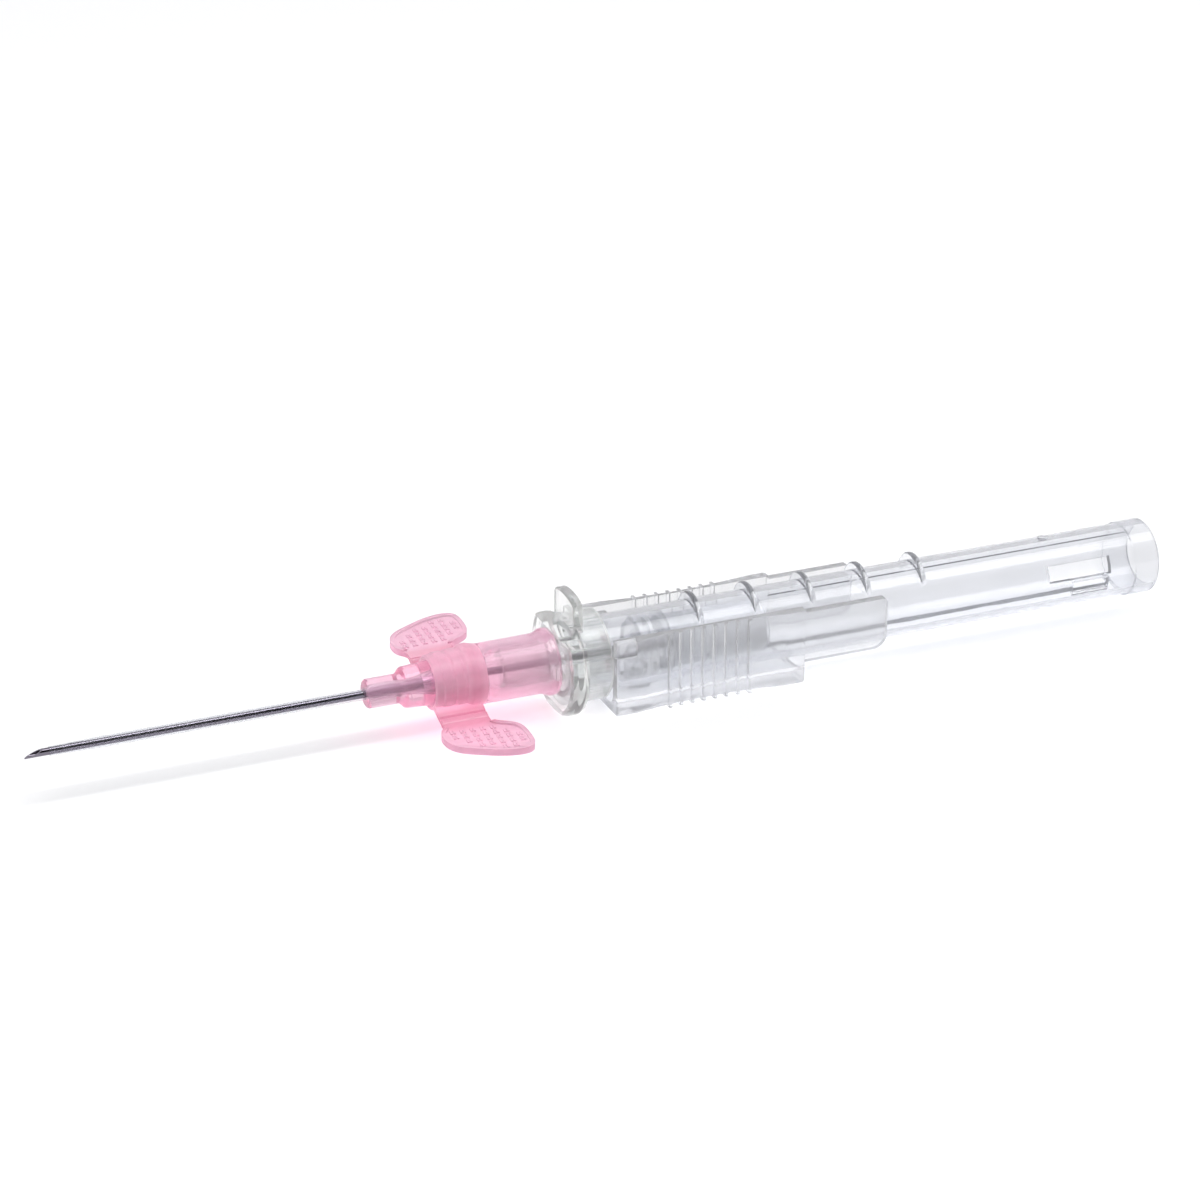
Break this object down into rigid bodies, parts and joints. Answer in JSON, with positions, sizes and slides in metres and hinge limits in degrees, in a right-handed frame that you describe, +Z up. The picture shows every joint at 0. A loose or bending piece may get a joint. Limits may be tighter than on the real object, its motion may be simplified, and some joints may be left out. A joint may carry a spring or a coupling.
{
  "type": "iv cannula",
  "caption": "Winged safety peripheral catheter on its introducer needle, with a clear sliding needle guard and a ribbed finger grip.",
  "frame": {"origin": "middle of the flat underside of the finger grip, below the needle axis", "axes": "+X along the needle axis from the needle point towards the rear of the guard tube; +Y towards the raised wing; +Z up from the surface it lies on"},
  "size_m": [0.1178, 0.0224, 0.012],
  "materials": {
    "needle_steel": "drawn and electropolished stainless steel tube, bright",
    "catheter_tubing": "thin translucent fluoropolymer tubing, glossy",
    "eyelet_steel": "drawn thin stainless steel, satin",
    "hub_pink_clear": "translucent pink polypropylene, glossy",
    "wing_pink_soft": "soft salmon pink moulding, satin, slightly translucent",
    "nose_clear": "clear plastic with a faint grey green tint, glossy",
    "guard_clear": "clear plastic, glossy, faint cool tint",
    "housing_clear": "clear plastic, slightly hazed, glossy",
    "needle_hub_clear": "clear plastic, glossy",
    "chamber_clear": "clear plastic, glossy",
    "vent_white": "sintered porous plastic, white, matt"
  },
  "bodies": {
    "housing": {"needle_housing": "housing_clear", "needle_hub": "needle_hub_clear", "flash_chamber": "chamber_clear", "vent_plug": "vent_white", "needle_cannula": "needle_steel"},
    "guard": {"guard_nose": "nose_clear", "guard_tube": "guard_clear"},
    "catheter": {"catheter_hub": "hub_pink_clear", "catheter_tube": "catheter_tubing", "tube_eyelet": "eyelet_steel", "wing_collar": "wing_pink_soft"}
  },
  "joints": [
    {"name": "guard_slide", "type": "slide", "parent": "housing", "child": "guard", "axis": [-1, 0, 0], "range_m": [0, 0.052]},
    {"name": "catheter_slide", "type": "slide", "parent": "guard", "child": "catheter", "axis": [-1, 0, 0], "range_m": [0, 0.058]}
  ]
}
